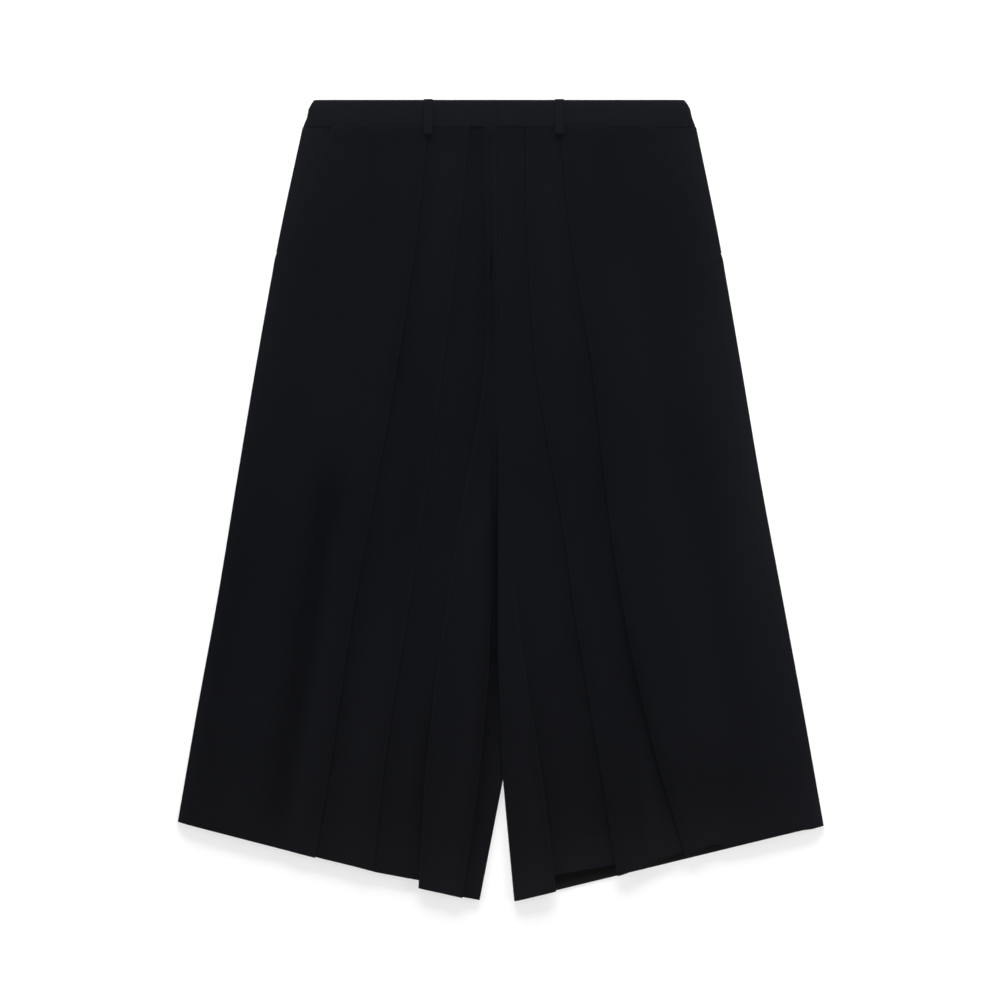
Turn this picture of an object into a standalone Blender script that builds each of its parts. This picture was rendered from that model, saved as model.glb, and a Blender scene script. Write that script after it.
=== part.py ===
"""Cropped hakama-style trousers lying flat on their back, front side up.

+Z is up out of the cloth, +Y runs from hem to waist and +X is the wearer's left. The origin is
under the middle of the garment, on the surface that it lies on. Lengths are in millimetres until
a mesh is made.

Each leg is described by its distance from the garment's middle line, called w, measured outwards,
at seven stations from the waistband's lower edge to the hem. A section of a leg's front is the path
of the cloth from the side seam to the inner leg, through every knife pleat on its way.
"""

import math
from collections import namedtuple

import bmesh
import bpy
from mathutils import Vector

MM = 0.001

# ------------------------------------------------------------------ driving sizes, millimetres
CLOTH = 1.2                 # wall of the legs
BAND_CLOTH = 2.0            # doubled wall of the waistband
GAP = 0.3                   # left between pieces that lie side by side
BAND_GAP = 0.6              # left between the waistband and the legs
SLANT_ROOM = 0.25           # added where an edge runs at a slant
CENTRE_GAP = 0.4            # between the two fronts, and between the two backs

BAND_LOW_Y = 391.1          # seam between waistband and legs
BACK_BAND_DROP = 0.8        # waist edge of the back below that of the front
LOW_LAYER = 2.2             # mid-height of front cloth that lies on the back panel
LAYER_STEP_WAIST = 1.7      # from one folded layer up to the next, at the waist
LAYER_STEP_HEM = 2.0        # and at the hem, where the pleats are looser
PANEL_LEVEL = 4.3           # mid-height of the plain outer panel
POCKET_LEVEL = 2.7          # mid-height of the cloth seen inside a pocket opening
BAND_LEVEL = 5.2            # mid-height of the front waistband
SIDE_ROLL = 12.0            # width over which the cloth rolls down to the side seam
EDGE_LOW = 0.35             # height of a rolled edge above the surface
EDGE_FOOT = 1.6             # height up to which it stands upright, beside the back panel
PLEAT_CLEARANCE = 4.0       # between a hidden fold and the slope of the layer above it
FOLD_FREE = 0.35            # share of a pleat's folding after which its layers lap

STATIONS = (0.0, 0.16, 0.33, 0.51, 0.68, 0.845, 1.0)
LEG_ROWS = (0.0, 0.05, 0.1, 0.15, 0.19, 0.21, 0.25, 0.31, 0.37, 0.43, 0.485,
            0.535, 0.59, 0.65, 0.71, 0.77, 0.845, 0.9, 0.95, 1.0)
BACK_ROWS = (0.0, 0.05, 0.1, 0.15, 0.19, 0.25, 0.31, 0.37, 0.43, 0.485,
             0.535, 0.59, 0.65, 0.71, 0.77, 0.845, 0.9, 0.95, 1.0)
BACK_PARTS = (0.43, 0.485)  # the centre-back seam ends here
CROTCH = (0.485, 0.535)     # the centre-front seam ends here and the legs part
POCKET_END = 0.19           # station where the slanted pocket meets the side seam
POCKET_CLOSED = 0.21        # station where the front is rolled down to the side seam again
HEM_ZONE = 0.86             # below this the hem's own lift fades in

# edge: w of the visible fold at each station; faces: which way that edge looks.
# depth: how far the hidden part reaches, at the waist and at the hem.
# stands: stations over which the fold grows to full height; folds: over which it laps over itself.
Pleat = namedtuple("Pleat", "name edge faces depth stands folds")
# middle and height at each station, and the half width of a soft trough (-) or ridge (+)
SoftFold = namedtuple("SoftFold", "middle height half_width")
# hem: y of the hem at the side and at the inner seam; back_hem: station where the back panel ends
# lift: how far the hem of each stretch between pleats is drawn up, at its outer and inner end
Leg = namedtuple(
    "Leg", "sign side inner hem back_hem pocket_top end_level end_roll pleats soft_folds lift loop"
)

MIDDLE, SIDE = "middle", "side"
PRESSED = (-0.2, -0.1)      # a fold that is already complete at the waistband

RIGHT = Leg(
    sign=-1,
    side=(207.0, 232.0, 254.6, 276.6, 297.0, 319.0, 338.7),
    inner=(3.2, 3.1, 2.1, 2.1, 0.0, -1.5, 21.0),
    hem=(-338.0, -420.2),
    back_hem=0.99,
    pocket_top=175.0,
    end_level=(5.2, 5.6, 5.9, 2.6, 2.3, 2.3, 2.4),
    end_roll=(3.0, 3.0, 3.0, 3.0, 3.0, 3.0, 3.0),
    pleats=(
        Pleat("outer", (75.6, 89.0, 108.7, 133.1, 156.2, 174.9, 194.2), MIDDLE, (18, 26), PRESSED, PRESSED),
        Pleat("second", (31.5, 45.3, 61.1, 80.0, 100.3, 120.2, 133.4), MIDDLE, (17, 28), PRESSED, PRESSED),
        Pleat("third", (15.5, 14.0, 21.6, 43.4, 63.0, 77.2, 85.6), SIDE, (10, 16), (0.13, 0.25), (0.25, 0.43)),
        Pleat("inner", (9.0, 9.0, 9.0, 9.6, 11.2, 22.5, 40.0), MIDDLE, (8, 13), (0.43, 0.535), (0.59, 0.8)),
    ),
    soft_folds=(
        SoftFold((157.5, 159.9, 162.4, 178.7, 201.2, 219.6, 234.2), (0, 0, 0, -0.8, -1.5, -1.7, -1.7), 13.0),
        SoftFold((133.0, 135.0, 139.0, 155.0, 178.0, 196.0, 211.0), (0, 0, 0, 0.5, 1.2, 1.4, 1.3), 11.0),
    ),
    lift=((0, 0), (1.0, 2.0), (1.3, 4.4), (-3.5, -2.0), (-1.0, 0)),
    loop=75.6,
)

LEFT = Leg(
    sign=1,
    side=(205.0, 229.0, 251.0, 273.4, 296.8, 319.2, 339.4),
    inner=(-3.2, -3.1, -2.1, -1.6, 0.5, 3.1, 14.2),
    hem=(-342.2, -421.4),
    back_hem=0.9996,
    pocket_top=161.7,
    end_level=(5.2, 5.2, 5.4, 5.9, 6.0, 6.0, 6.0),
    end_roll=(3.0, 3.0, 3.0, 3.5, 5.0, 6.0, 7.0),
    pleats=(
        Pleat("outer", (61.9, 73.1, 92.5, 112.0, 132.4, 161.2, 194.1), MIDDLE, (18, 30), PRESSED, PRESSED),
        Pleat("second", (26.3, 29.2, 38.9, 63.0, 82.3, 103.7, 122.8), MIDDLE, (15, 28), PRESSED, PRESSED),
        Pleat("third", (3.5, 3.5, 3.6, 7.0, 24.5, 43.8, 58.6), SIDE, (10, 20), (0.485, 0.62), (0.62, 0.8)),
    ),
    soft_folds=(
        SoftFold((175.0, 190.0, 205.0, 215.0, 235.0, 250.0, 262.0), (0, 0, 0.5, 0.7, 0.6, 0.4, 0.2), 26.0),
        SoftFold((150.0, 155.0, 160.0, 170.0, 190.0, 212.0, 232.0), (0, 0, -0.2, -0.6, -0.7, -0.7, -0.7), 16.0),
    ),
    lift=((0, 2.0), (5.0, 0.5), (8.0, 9.5), (0, 0)),
    loop=62.0,
)

# height of each row of the waistband, and its half width on either side
BandRow = namedtuple("BandRow", "y right left")
BAND_ROWS = (
    BandRow(391.1, 206.7, 204.7),
    BandRow(393.2, 206.3, 204.2),
    BandRow(400.5, 203.1, 201.2),
    BandRow(410.0, 201.3, 199.2),
    BandRow(418.95, 195.6, 193.2),
)


# ------------------------------------------------------------------ small helpers
def mix(a, b, t):
    return a + (b - a) * t


def ease(t, start=0.0, end=1.0):
    """0 before start, 1 after end, and a smooth rise between."""
    t = min(1.0, max(0.0, (t - start) / (end - start)))
    return t * t * (3 - 2 * t)


def segment(v):
    """Index of the stretch between stations that holds v, and how far along it v lies."""
    i = max(k for k in range(len(STATIONS) - 1) if STATIONS[k] <= v + 1e-9)
    return i, (v - STATIONS[i]) / (STATIONS[i + 1] - STATIONS[i])


def straight(values, v):
    """Value at v on straight lines between the stations."""
    i, t = segment(v)
    return mix(values[i], values[i + 1], t)


def curve(values, v):
    """Value at v on one smooth curve through the stations."""
    i, t = segment(v)

    def slope(k):
        low, high = max(0, k - 1), min(len(STATIONS) - 1, k + 1)
        return (values[high] - values[low]) / (STATIONS[high] - STATIONS[low])

    span = STATIONS[i + 1] - STATIONS[i]
    return (
        values[i] * (1 + 2 * t) * (1 - t) ** 2
        + slope(i) * span * t * (1 - t) ** 2
        + values[i + 1] * t * t * (3 - 2 * t)
        + slope(i + 1) * span * t * t * (t - 1)
    )


def on_leg(leg, v, w, lift=0.0):
    """Plan position of a point of a leg: sections slope from the side seam down to the inner leg."""
    top = BAND_LOW_Y - BAND_GAP
    side_w, inner_w = curve(leg.side, v), straight(leg.inner, v)
    side_y, inner_y = mix(top, leg.hem[0], v), mix(top, leg.hem[1], v)
    y = mix(side_y, inner_y, (side_w - w) / (side_w - inner_w))
    return leg.sign * w, y + lift * ease(v, HEM_ZONE, 1.0)


# ------------------------------------------------------------------ the path of one section
def rolled_edge(w, level, width, wall):
    """Upright foot just above the surface, then a quarter ellipse up to the cloth's own level."""
    foot = max(EDGE_FOOT, wall + GAP)
    path = [(w - wall / 2, EDGE_LOW)]
    for degrees in (0.0, 30.0, 60.0, 90.0):
        angle = math.radians(degrees)
        path.append((
            w - wall / 2 - width * (1 - math.cos(angle)),
            foot + (level - foot) * math.sin(angle),
        ))
    return path


def pocket_edge(leg, v):
    """w of the front panel's outer edge along the slanted pocket, which meets the side seam."""
    return mix(leg.pocket_top, curve(leg.side, POCKET_END), v / POCKET_END)


def outer_edge(leg, v):
    """Start of a front section: a flat edge over the pocket, or a roll down to the side seam."""
    closed = ease(v, POCKET_END, POCKET_CLOSED)
    w = curve(leg.side, v) if v >= POCKET_END else pocket_edge(leg, v)
    rolled = rolled_edge(w, PANEL_LEVEL, SIDE_ROLL, CLOTH)
    flat = [(w - share * SIDE_ROLL, PANEL_LEVEL) for share in (0.0, 0.2, 0.45, 0.7, 1.0)]
    return [(mix(f[0], r[0], closed), mix(f[1], r[1], closed)) for f, r in zip(flat, rolled)]


def inner_edge(leg, v):
    """End of a front section: a turned-in centre seam above the crotch, a rolled edge below it."""
    parted = ease(v, *CROTCH)
    w, level = straight(leg.inner, v), curve(leg.end_level, v)
    seam = [
        (w + CENTRE_GAP / 2 + away, level - drop)
        for away, drop in ((2.6, 0.0), (2.05, 0.1), (1.55, 0.3), (1.05, 0.6), (0.6, 1.0))
    ]
    outwards = rolled_edge(-w, level, curve(leg.end_roll, v), CLOTH)
    rolled = [(-point[0], point[1]) for point in reversed(outwards)]
    return [(mix(s[0], r[0], parted), mix(s[1], r[1], parted)) for s, r in zip(seam, rolled)]


def lapped_fold(depth, top, low):
    """Three layers of a pleat whose edge looks to the middle, as (offset outwards, height)."""
    radius = (top - low) / 4
    path = [(radius + 2.5, top)]
    for degrees in (90, 150, 210, 270):
        angle = math.radians(degrees)
        path.append((radius + radius * math.cos(angle), top - radius + radius * math.sin(angle)))
    path.append((depth / 2, top - 2 * radius))
    for degrees in (90, 30, -30, -90):
        angle = math.radians(degrees)
        path.append((depth - radius + radius * math.cos(angle), low + radius + radius * math.sin(angle)))
    path.append((depth / 2, low))
    path.append((-2.0, low))
    return path


def open_fold(top, low, width):
    """The same pleat before it laps over itself: a plain step down towards the middle."""
    count = 12
    return [
        (mix(3.0, -2.0, i / (count - 1)) * width, mix(top, low, ease(i / (count - 1))))
        for i in range(count)
    ]


def pleat_path(leg, pleat, v):
    """Points of one pleat from its outer to its inner side, as (w, height), and its two holds:
    how far the cloth on the outer and on the inner side has to stay level to clear the hidden fold."""
    stands, folds = ease(v, *pleat.stands), ease(v, *pleat.folds)
    depth = mix(pleat.depth[0], pleat.depth[1], v)
    low = mix(curve(leg.end_level, v), LOW_LAYER, stands)
    top = low + 2 * mix(LAYER_STEP_WAIST, LAYER_STEP_HEM, v) * stands
    wide = 0.3 + 0.7 * stands
    path = open_fold(top, low, wide)
    if folds:
        least = (top - low) / 2 + 1.0
        depth = mix(least, depth, max(0.0, folds - FOLD_FREE) / (1 - FOLD_FREE))
        shape = min(1.0, folds / FOLD_FREE)
        shut = lapped_fold(depth, top, low)
        path = [(mix(o[0], s[0], shape), mix(o[1], s[1], shape)) for o, s in zip(path, shut)]
    hold = max(0.0, depth + PLEAT_CLEARANCE - abs(path[0][0])) * folds
    if pleat.faces == SIDE:
        path = [(-offset, z) for offset, z in reversed(path)]
        holds = (0.0, hold)
    else:
        holds = (hold, 0.0)
    w = curve(pleat.edge, v)
    return [(w + offset, z) for offset, z in path], holds


def soft_relief(leg, v, w, hidden_w):
    """Height that soft folds add to the outer panel at w; none sinks over the hidden part of a pleat."""
    total = 0.0
    for fold in leg.soft_folds:
        away = (w - curve(fold.middle, v)) / fold.half_width
        total += curve(fold.height, v) * math.exp(-away * away)
    return max(0.0, total) + min(0.0, total) * ease(w, hidden_w, hidden_w + 8.0)


def between(start, end, holds, shares):
    """Columns of plain cloth between two points of a section, easing from one level to the other."""
    from_w, to_w = start[0] - holds[0], end[0] + holds[1]
    return [(mix(from_w, to_w, share), mix(start[1], end[1], ease(share))) for share in shares]


def front_section(leg, v):
    """Path of a leg's front from side to inner edge, as (w, height, lift of the hem)."""
    path = outer_edge(leg, v)
    lifts = [0.0] * len(path)
    shares = (0.12, 0.24, 0.36, 0.48, 0.6, 0.72, 0.84, 0.98)
    hold_before = 0.0
    for number, pleat in enumerate(leg.pleats):
        fold, holds = pleat_path(leg, pleat, v)
        plain = between(path[-1], fold[0], (hold_before, holds[0]), shares)
        if number == 0:
            hidden_w = fold[0][0] + holds[0]
            plain = [(w, z + soft_relief(leg, v, w, hidden_w)) for w, z in plain]
        lifts += [mix(*leg.lift[number], share) for share in shares]
        shares = (0.05, 0.28, 0.5, 0.72, 0.95)
        before, after = leg.lift[number][1], leg.lift[number + 1][0]
        turn = len(fold) - 1
        lifts += [mix(before, after, ease(i / turn, 0.25, 0.75)) for i in range(len(fold))]
        path += plain + fold
        hold_before = holds[1]
    end = inner_edge(leg, v)
    lifts += [mix(*leg.lift[-1], share) for share in shares] + [leg.lift[-1][1]] * len(end)
    path += between(path[-1], end[0], (hold_before, 0.0), shares) + end
    return [(w, z, lift) for (w, z), lift in zip(path, lifts)]


# ------------------------------------------------------------------ meshes
def cloth_material(name, colour, roughness):
    material = bpy.data.materials.new(name)
    material.use_nodes = True
    shader = material.node_tree.nodes["Principled BSDF"]
    shader.inputs["Base Color"].default_value = (*colour, 1.0)
    shader.inputs["Roughness"].default_value = roughness
    shader.inputs["Metallic"].default_value = 0.0
    return material


def cloth_sheet(name, rows, wall, material, collection):
    """A grid shaped row by row into one cut piece, then given the cloth's thickness both ways."""
    down, across = len(rows) - 1, len(rows[0]) - 1
    bm = bmesh.new()
    bmesh.ops.create_grid(bm, x_segments=across, y_segments=down, size=1.0)
    for vertex in bm.verts:
        column = round((vertex.co.x + 1) / 2 * across)
        row = round((vertex.co.y + 1) / 2 * down)
        vertex.co = Vector(rows[row][column]) * MM
    mesh = bpy.data.meshes.new(name)
    bm.to_mesh(mesh)
    bm.free()
    mesh.materials.append(material)
    mesh.shade_smooth()
    piece = bpy.data.objects.new(name, mesh)
    collection.objects.link(piece)
    solidify = piece.modifiers.new("Cloth thickness", "SOLIDIFY")
    solidify.thickness = wall * MM
    solidify.offset = 0.0
    solidify.use_even_offset = True
    return piece


def front_leg(name, leg, material, collection):
    rows = []
    for v in LEG_ROWS:
        rows.append([(*on_leg(leg, v, w, lift), z) for w, z, lift in front_section(leg, v)])
    return cloth_sheet(name, rows, CLOTH, material, collection)


def back_leg(name, leg, material, collection):
    """Flat back panel, inside the front's rolled edges."""
    inset = CLOTH + GAP + SLANT_ROOM
    rows = []
    for v in (min(row, leg.back_hem) for row in BACK_ROWS):
        side = curve(leg.side, v) - inset
        inner = straight(leg.inner, v) + mix(CENTRE_GAP / 2, inset, ease(v, *BACK_PARTS))
        rows.append([(*on_leg(leg, v, mix(side, inner, i / 6)), CLOTH / 2) for i in range(7)])
    return cloth_sheet(name, rows, CLOTH, material, collection)


def pocket_facing(name, leg, material, collection):
    """Cloth seen inside the slanted pocket: rolled at the side seam, tucked under the front."""
    tuck = 14.0
    last = POCKET_END - 0.007
    rows = []
    for i in range(6):
        v = last * i / 5
        path = rolled_edge(curve(leg.side, v), POCKET_LEVEL, 8.0, CLOTH)
        under = pocket_edge(leg, v) - tuck
        path += [(mix(path[-1][0], under, share), POCKET_LEVEL) for share in (0.33, 0.67, 1.0)]
        rows.append([(*on_leg(leg, v, w), z) for w, z in path])
    return cloth_sheet(name, rows, CLOTH, material, collection)


def front_band(name, leg, material, collection):
    """Half of the front waistband, from the side seam to the closure at the centre front."""
    centre = leg.inner[0] + CENTRE_GAP / 2
    rows = []
    for row in BAND_ROWS:
        path = rolled_edge(row.right if leg.sign < 0 else row.left, BAND_LEVEL, SIDE_ROLL, BAND_CLOTH)
        path += [(mix(path[-1][0], centre, (i + 1) / 6), BAND_LEVEL) for i in range(6)]
        rows.append([(leg.sign * w, row.y, z) for w, z in path])
    return cloth_sheet(name, rows, BAND_CLOTH, material, collection)


def back_band(name, material, collection):
    inset = BAND_CLOTH + GAP + 2 * SLANT_ROOM
    rows = []
    for row in BAND_ROWS:
        y = min(row.y, BAND_ROWS[-1].y - BACK_BAND_DROP)
        rows.append([
            (mix(inset - row.right, row.left - inset, i / 8), y, BAND_CLOTH / 2)
            for i in range(9)
        ])
    return cloth_sheet(name, rows, BAND_CLOTH, material, collection)


def belt_loop(name, leg, material, collection):
    """Narrow strap over the waistband, from the waist edge to just below the band."""
    width, reach, bow = 9.0, 8.4, 0.6
    lowest = BAND_LEVEL + BAND_CLOTH / 2 + GAP + CLOTH / 2
    rows = []
    for i in range(9):
        along = i / 8
        y = mix(BAND_LOW_Y - reach, BAND_ROWS[-1].y - 0.4, along)
        z = lowest + bow * math.sin(math.pi * along)
        rows.append([(leg.sign * leg.loop + width * (j / 2 - 0.5), y, z) for j in range(3)])
    return cloth_sheet(name, rows, CLOTH, material, collection)


def build():
    for old in list(bpy.data.objects):
        bpy.data.objects.remove(old)
    garment = bpy.data.collections.new("hakama_trousers")
    bpy.context.scene.collection.children.link(garment)
    leg_cloth = cloth_material("black_twill", (0.008, 0.0088, 0.0105), 0.85)
    band_cloth = cloth_material("black_twill_band", (0.010, 0.011, 0.013), 0.8)

    front_leg("front_right_leg", RIGHT, leg_cloth, garment)
    front_leg("front_left_leg", LEFT, leg_cloth, garment)
    back_leg("back_right_leg", RIGHT, leg_cloth, garment)
    back_leg("back_left_leg", LEFT, leg_cloth, garment)
    pocket_facing("pocket_facing_right", RIGHT, leg_cloth, garment)
    pocket_facing("pocket_facing_left", LEFT, leg_cloth, garment)
    front_band("waistband_front_right", RIGHT, band_cloth, garment)
    front_band("waistband_front_left", LEFT, band_cloth, garment)
    back_band("waistband_back", band_cloth, garment)
    belt_loop("belt_loop_right", RIGHT, band_cloth, garment)
    belt_loop("belt_loop_left", LEFT, band_cloth, garment)


build()
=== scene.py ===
import math

import bpy
import numpy as np
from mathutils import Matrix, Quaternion, Vector, noise


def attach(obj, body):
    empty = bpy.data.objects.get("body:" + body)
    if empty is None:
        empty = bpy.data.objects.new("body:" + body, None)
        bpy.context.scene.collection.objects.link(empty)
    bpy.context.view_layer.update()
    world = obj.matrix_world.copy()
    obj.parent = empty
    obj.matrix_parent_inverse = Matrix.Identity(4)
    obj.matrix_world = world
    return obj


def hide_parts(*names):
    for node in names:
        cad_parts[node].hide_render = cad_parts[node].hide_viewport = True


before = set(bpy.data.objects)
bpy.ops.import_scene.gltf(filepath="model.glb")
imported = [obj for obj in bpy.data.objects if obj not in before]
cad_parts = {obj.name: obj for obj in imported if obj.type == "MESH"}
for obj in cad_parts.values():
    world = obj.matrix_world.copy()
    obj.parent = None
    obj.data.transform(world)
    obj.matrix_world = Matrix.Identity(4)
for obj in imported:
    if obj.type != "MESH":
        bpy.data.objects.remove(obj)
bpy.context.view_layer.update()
bpy.ops.object.select_all(action="DESELECT")
print("frame loaded")

# Lengths are in millimetres until a mesh is made. A place on a leg is given by its station v, from 0
# at the waistband to 1 at the hem, and by w, its distance outwards from the garment's middle line.
mm = 0.001
bandLowY = 391.1  # lower edge of the waistband
legTopY = 393.4  # the legs are sewn in under it
legLength = 800.0  # about, to turn a share of the leg into a distance from the waist or the hem
hemZone = 0.86  # the hem's own lift fades in below this station
fromWaist = (-0.2, -0.1)  # for a fold that is already complete at the waistband

# Every leg table has one value for each of these stations.
stations = (0.0, 0.16, 0.33, 0.51, 0.68, 0.845, 1.0)

rightLeg = {
    "sign": -1,
    "seed": 3.0,
    "side": (207.0, 232.0, 254.6, 276.6, 297.0, 319.0, 338.7),  # w of the side seam
    "inner": (3.2, 3.1, 2.1, 1.7, 2.2, -2.75, 21.7),  # w of the centre front, then of the inner leg
    "hem": (-338.0, -420.2),  # y of the hem at the side and at the inner leg
    "backHem": 0.99,  # station where the back ends
    "pocketTop": 175.0,  # w of the pocket's mouth at the waistband
    "pocketBow": 1.5,
    "endLevel": (3.7, 4.7, 5.2, 3.2, 2.5, 2.7, 4.2),  # mid-height of the cloth along the inner edge
    "rim": (0.32, 0.3, 0.22, 0.13, 0.05, 0.07, 0.08),  # how much painted light there is at the side seam, where the cloth rolls down
    "sidePaintedShade": (0.0, 0.0, -0.03, -0.06, -0.03, 0.0, 0.0),  # painted shade over the leg's outer half
    "innerPaintedLight": (0.0, 0.0, 0.0, 0.0, 0.02, 0.08, 0.08),  # painted light over its inner half
    "hemPaintedLight": (0.02, 0.27),  # painted light along the hem, at the side and at the inner leg
    "gapPaintedShade": (0.0, 0.0, 0.0, -0.18, -0.13, 0.0, 0.0),  # painted shade deep in the gap between the legs
    "endRoll": (3.0, 3.0, 3.0, 3.0, 3.0, 3.0, 3.0),  # width of the roll along the inner leg
    "footIn": 0.0,  # how far that roll turns under
    # how the centre front edge ends, as distance from the centre line and drop: on top of the other
    "lap": ((2.6, -0.1), (2.0, -0.12), (1.5, -0.12), (1.0, -0.08), (0.5, 0.04), (0.1, 0.3)),
    # w of the fold's edge, which way it looks, how deep its shade is, how far its hidden part reaches,
    # and the stations over which it rises and laps over itself
    "pleats": (
        {"edge": (75.6, 89.0, 108.7, 133.1, 156.2, 174.9, 194.2), "faces": "middle",
         "shade": (0.35, 0.6, 0.8, 0.5, 0.6, 0.7, 0.5),
         "depth": (15, 20), "stands": fromWaist, "folds": fromWaist},
        {"edge": (31.5, 45.3, 61.1, 80.0, 100.3, 120.2, 133.4), "faces": "middle",
         "shade": (0.35, 0.35, 0.1, 0.15, 0.35, 0.6, 0.5),
         "depth": (15, 22), "stands": fromWaist, "folds": fromWaist},
        {"edge": (16.5, 13.2, 17.5, 41.8, 62.0, 77.2, 85.6), "faces": "side",
         "shade": (0.5, 0.9, 0.7, 0.15, 0.1, 0.95, 0.8),
         "depth": (8, 16), "stands": fromWaist, "folds": (0.22, 0.4)},
        {"edge": (6.9, 6.9, 6.9, 9.4, 11.6, 22.5, 40.0), "faces": "middle",
         "shade": (0.0, 0.0, 0.0, 1.2, 1.4, 1.25, 0.9),
         "depth": (8, 13), "stands": (0.465, 0.545), "folds": (0.59, 0.8)},
    ),
    # how far the hem of each stretch between pleats is drawn up, at its outer and its inner end
    "lift": ((0, 0), (1.0, 2.0), (1.3, 4.4), (-3.5, -2.0), (-1.0, 0)),
    "scallops": (),  # height, w and half width of waves in the hem's outline
    "sags": (),  # depth, w and half width of places where the hem lies lower
    # height, half width, and the crease's line as (station, w)
    "creases": (
        (-2.3, 19.0, ((0.42, 174), (0.56, 185), (0.72, 202), (0.85, 220), (0.95, 231), (1.04, 238))),
        (1.2, 11.0, ((0.5, 168), (0.62, 176), (0.75, 188), (0.9, 207), (1.05, 224))),
        (0.3, 30.0, ((0.1, 150), (0.3, 165), (0.5, 205), (0.7, 245), (0.9, 268))),
        (-0.9, 14.0, ((0.30, 78), (0.42, 86), (0.55, 99), (0.62, 108))),
        (0.7, 10.0, ((0.62, 118), (0.75, 134), (0.9, 150), (1.02, 160))),
        (-0.7, 12.0, ((0.55, 262), (0.7, 283), (0.9, 306), (1.0, 318))),
        (0.5, 16.0, ((-0.03, 55), (0.1, 64), (0.22, 74), (0.33, 84))),
        (-0.5, 10.0, ((-0.02, 132), (0.06, 136), (0.2, 140))),
        (0.45, 9.0, ((0.4, 28), (0.55, 36), (0.7, 42), (0.82, 47))),
        (-0.9, 6.5, ((0.13, 12), (0.2, 10), (0.27, 7.5), (0.36, 6))),
    ),
    # short dark places, given in the same way, where the fly's edge under the cloth is pressed in, with
    # painted shade in them
    "pressed": (
        (-0.8, 1.3, ((0.15, 9.0), (0.165, 9.1), (0.18, 9.3), (0.205, 9.8))),
        (-0.5, 1.2, ((0.385, 3.0), (0.4, 2.8), (0.42, 2.8), (0.45, 2.9))),
    ),
}

leftLeg = {
    "sign": 1,
    "seed": 11.0,
    "side": (205.0, 229.0, 251.0, 273.4, 296.8, 319.2, 339.4),
    "inner": (-3.2, -3.1, -2.1, -2.6, -2.8, 2.6, 14.5),
    "hem": (-342.2, -421.4),
    "backHem": 0.9996,
    "pocketTop": 161.7,
    "pocketBow": 4.0,
    "endLevel": (3.3, 4.2, 4.9, 5.6, 6.0, 6.3, 6.6),
    "rim": (0.38, 0.42, 0.55, 0.56, 0.42, 0.3, 0.3),
    "sidePaintedShade": (0.0, 0.0, -0.03, -0.03, 0.0, 0.0, 0.0),
    "innerPaintedLight": (0.0, 0.0, 0.0, 0.02, 0.03, 0.05, 0.06),
    "hemPaintedLight": (0.16, 0.32),
    "gapPaintedShade": (0.0, 0.0, 0.0, 0.0, 0.0, 0.0, 0.0),
    "endRoll": (3.0, 3.0, 3.0, 3.5, 5.0, 6.0, 7.0),
    "footIn": 1.6,
    # this edge lies under the other
    "lap": ((2.9, 0.0), (1.9, 0.03), (1.2, 0.12), (0.55, 0.5), (-0.6, 1.3), (-3.4, 1.5)),
    "pleats": (
        {"edge": (61.9, 75.0, 97.0, 112.6, 132.8, 161.2, 194.1), "faces": "middle",
         "shade": (0.05, 0.35, 0.7, 0.7, 1.0, 1.1, 0.6),
         "depth": (15, 22), "stands": fromWaist, "folds": fromWaist},
        {"edge": (26.3, 29.2, 38.9, 63.0, 82.3, 103.7, 122.8), "faces": "middle",
         "shade": (0.05, 0.5, 0.35, 0.5, 0.7, 0.6, 0.9),
         "depth": (13, 22), "stands": fromWaist, "folds": fromWaist},
        {"edge": (3.5, 3.5, 3.6, 6.5, 22.5, 42.8, 58.0), "faces": "side",
         "shade": (0.0, 0.0, 0.0, 0.3, 0.5, 0.7, 0.9),
         "depth": (10, 18), "stands": (0.485, 0.62), "folds": (0.62, 0.8)},
    ),
    "lift": ((1.0, 3.6), (8.5, 0.5), (13.0, 17.0), (0, 0)),
    "scallops": ((6.0, 221.0, 15.0), (1.0, 166.0, 13.0)),
    "sags": ((1.5, 90.0, 26.0), (1.1, 168.0, 18.0), (0.9, 65.0, 9.0)),
    "creases": (
        (0.9, 24.0, ((0.1, 118), (0.3, 140), (0.5, 168), (0.7, 200), (0.95, 236))),
        (-0.35, 17.0, ((0.36, 178), (0.55, 212), (0.72, 240), (0.92, 268))),
        (0.7, 22.0, ((0.2, 190), (0.45, 232), (0.7, 268), (1.02, 300))),
        (-0.5, 12.0, ((0.66, 118), (0.8, 131), (0.93, 146), (1.02, 152))),
        (1.4, 11.0, ((0.78, 140), (0.88, 151), (1.03, 168))),
        (-0.6, 10.0, ((0.45, 88), (0.6, 98), (0.7, 108))),
        (0.6, 12.0, ((-0.03, 46), (0.1, 51), (0.25, 62), (0.36, 76))),
        (-0.5, 11.0, ((-0.02, 110), (0.08, 116), (0.22, 124))),
        (0.5, 8.0, ((0.62, 12), (0.75, 22), (0.9, 34), (1.03, 40))),
    ),
    "pressed": (),
}


def mix(a, b, t):
    return a + (b - a) * t


def ease(t, start=0.0, end=1.0):
    t = min(1.0, max(0.0, (t - start) / (end - start)))
    return t * t * (3 - 2 * t)


# The next three also work on arrays: a straight climb from 0 to 1, a soft hill or trough of a given
# height, middle and half width, and a height that fades away with the distance.
def ramp(at, start, end):
    return np.clip((at - start) / (end - start), 0, 1)


def hill(at, height, middle, half):
    return height * np.exp(-((at - middle) / half) ** 2)


def fade(distance, height, reach):
    return height * np.exp(-distance / reach)


def steps(count):
    return [i / count for i in range(count + 1)]


# Points round a middle, in the directions given in degrees.
def arc(middle, radius, directions):
    turns = [math.radians(degrees) for degrees in directions]
    return [(middle[0] + radius * math.cos(t), middle[1] + radius * math.sin(t)) for t in turns]


def stationSpan(v):
    i = max(k for k in range(len(stations) - 1) if stations[k] <= v + 1e-9)
    return i, (v - stations[i]) / (stations[i + 1] - stations[i])


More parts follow.
